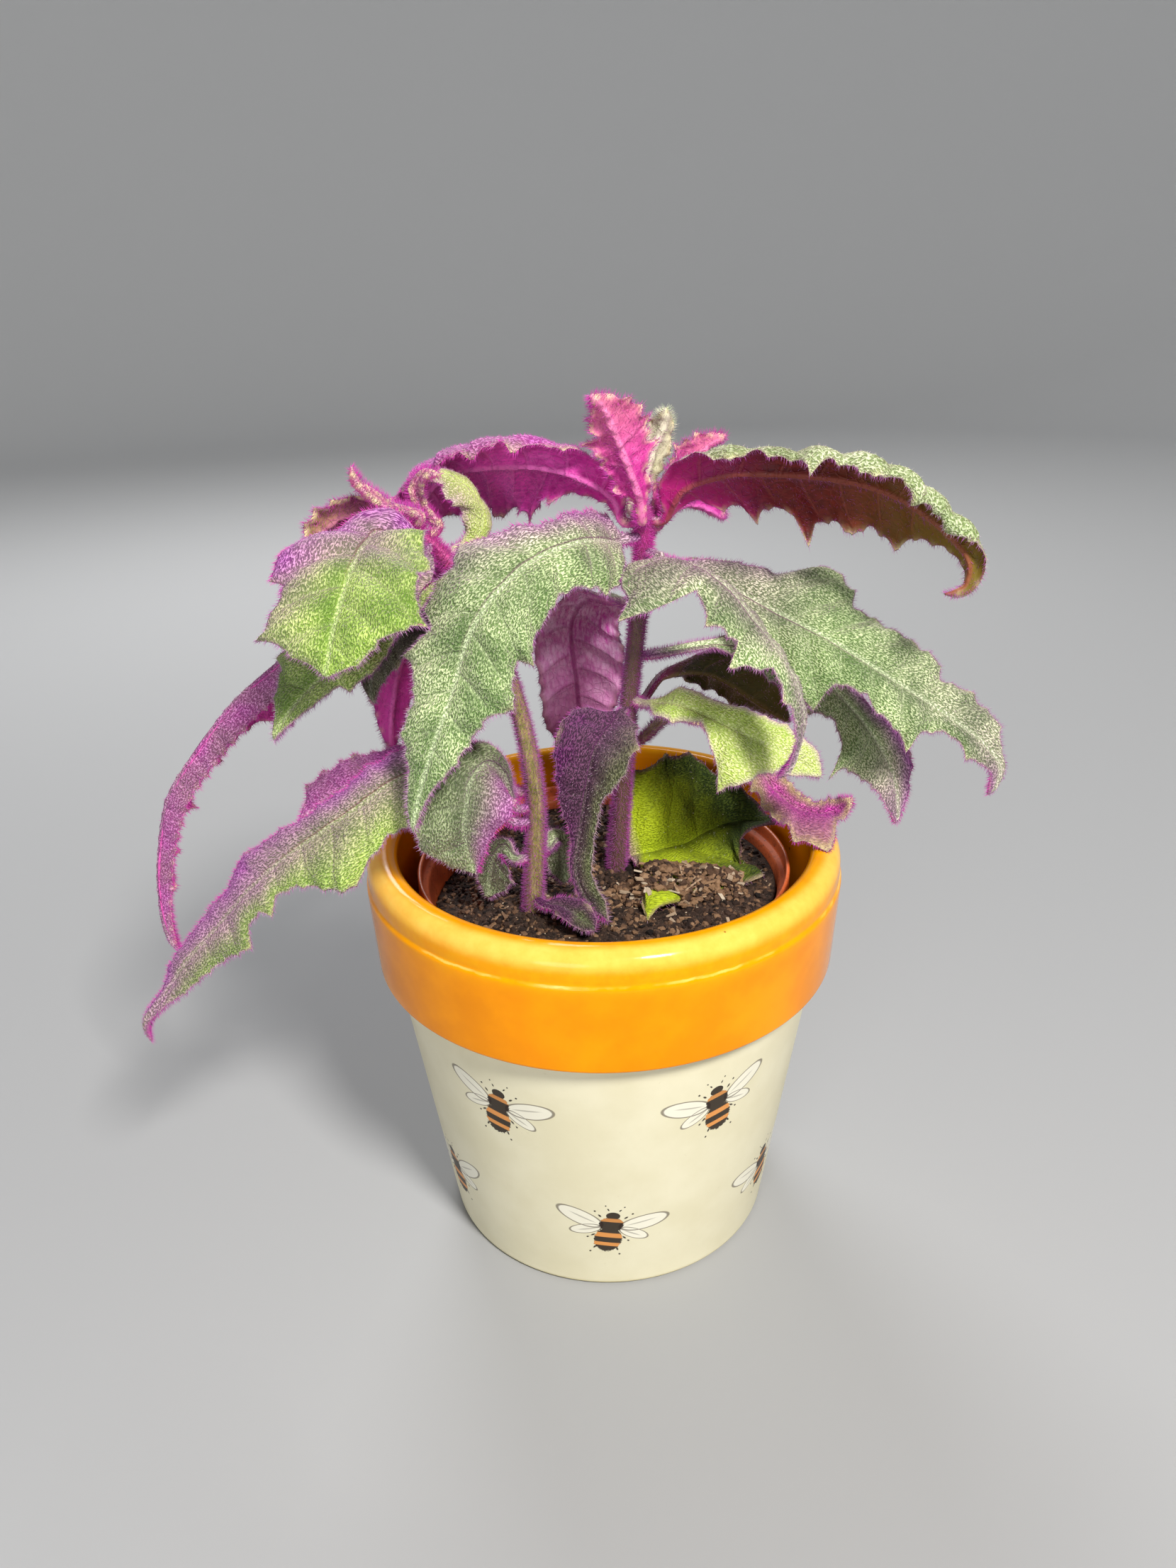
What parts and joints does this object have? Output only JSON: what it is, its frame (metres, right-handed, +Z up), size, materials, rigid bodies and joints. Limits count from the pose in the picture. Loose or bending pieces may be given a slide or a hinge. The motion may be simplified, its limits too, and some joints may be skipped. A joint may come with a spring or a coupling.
{
  "type": "potted purple passion plant",
  "caption": "Bushy purple passion plant with drooping, toothed, velvety leaves, growing in a plastic nursery pot inside a glazed ceramic cover pot.",
  "frame": {"origin": "centre of the cover pot's flat base, on the surface it stands on", "axes": "+Z up; the plant's fullest side faces -Y; +X is to the right seen from that side"},
  "size_m": [0.2343, 0.133, 0.2404],
  "materials": {
    "pot_glaze": "gloss",
    "nursery_plastic": "satin",
    "peat": "matte",
    "stem": "satin",
    "leaf_grey_green": "matte",
    "leaf_bright_green": "matte",
    "leaf_yellow_green": "matte",
    "leaf_dark_green": "matte",
    "leaf_purple": "satin",
    "leaf_pink": "matte",
    "leaf_purple_grey": "matte"
  },
  "bodies": {
    "root": {"cover_pot": "pot_glaze", "nursery_pot": "nursery_plastic", "potting_soil": "peat", "stem_left": "stem", "stem_right": "stem", "leaf_centre_left": "leaf_grey_green", "leaf_centre_right": "leaf_grey_green", "leaf_right_broad": "leaf_grey_green", "leaf_right_lower": "leaf_purple_grey", "leaf_middle_bright": "leaf_bright_green", "leaf_behind_dark": "leaf_dark_green", "leaf_front_hanging": "leaf_purple_grey", "leaf_left_long": "leaf_grey_green", "leaf_left_lobe": "leaf_purple", "leaf_left_outer": "leaf_purple", "leaf_left_shoot_front": "leaf_bright_green", "leaf_left_shoot_lower": "leaf_bright_green", "leaf_front_low": "leaf_grey_green", "leaf_right_arching": "leaf_purple", "leaf_left_arching": "leaf_purple", "leaf_back_hanging": "leaf_purple", "leaf_old_on_soil": "leaf_yellow_green", "leaf_rim_curl": "leaf_purple", "leaf_crown_young": "leaf_pink", "leaf_crown_woolly": "leaf_yellow_green", "leaf_crown_right": "leaf_pink", "leaf_crown_right_low": "leaf_purple", "leaf_left_shoot_spike": "leaf_pink", "leaf_left_shoot_curl": "leaf_pink", "leaf_left_shoot_rolled": "leaf_purple", "leaf_left_shoot_cupped": "leaf_bright_green", "leaf_left_back_dark": "leaf_purple", "leaf_left_back_small": "leaf_dark_green", "leaf_soil_left": "leaf_grey_green", "leaf_soil_centre": "leaf_grey_green", "leaf_soil_sprout": "leaf_purple_grey", "leaf_back_right": "leaf_grey_green", "leaf_back_left": "leaf_grey_green"}
  },
  "joints": []
}
